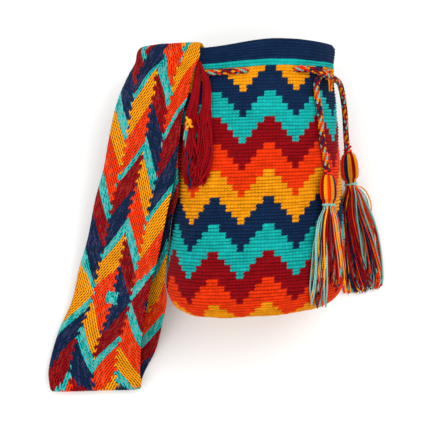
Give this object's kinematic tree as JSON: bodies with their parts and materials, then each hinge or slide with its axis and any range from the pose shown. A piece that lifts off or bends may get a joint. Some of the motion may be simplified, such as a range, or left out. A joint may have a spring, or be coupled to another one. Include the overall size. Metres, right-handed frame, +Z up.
{
  "type": "wayuu mochila bag",
  "caption": "Crocheted shoulder bag with zigzag bands, a wide woven strap and a laced drawstring with tassels, lying on its back.",
  "frame": {"origin": "middle of the flat of the bag's back, on the surface the bag lies on", "axes": "+Y from the base towards the mouth, +X to the right of the front, +Z up, out of the front"},
  "size_m": [0.3493, 0.3544, 0.1537],
  "materials": {
    "crochet": "matte",
    "woven_band": "matte",
    "braid": "matte",
    "yarn": "matte",
    "tie_yarn": "matte",
    "sewing_yarn": "matte"
  },
  "bodies": {
    "root": {"bag_wall_front": "crochet", "bag_wall_back": "crochet", "bag_base": "crochet", "strap_upper_run": "woven_band", "strap_lower_run": "woven_band", "strap_fold": "woven_band", "strap_fringe": "yarn", "fringe_tie": "yarn", "strap_stitching_outer": "sewing_yarn", "strap_stitching_inner": "sewing_yarn", "drawstring": "braid", "tassel_front_yarn": "yarn", "tassel_front_binding": "tie_yarn", "tassel_side_yarn": "yarn", "tassel_side_binding": "tie_yarn"}
  },
  "joints": []
}
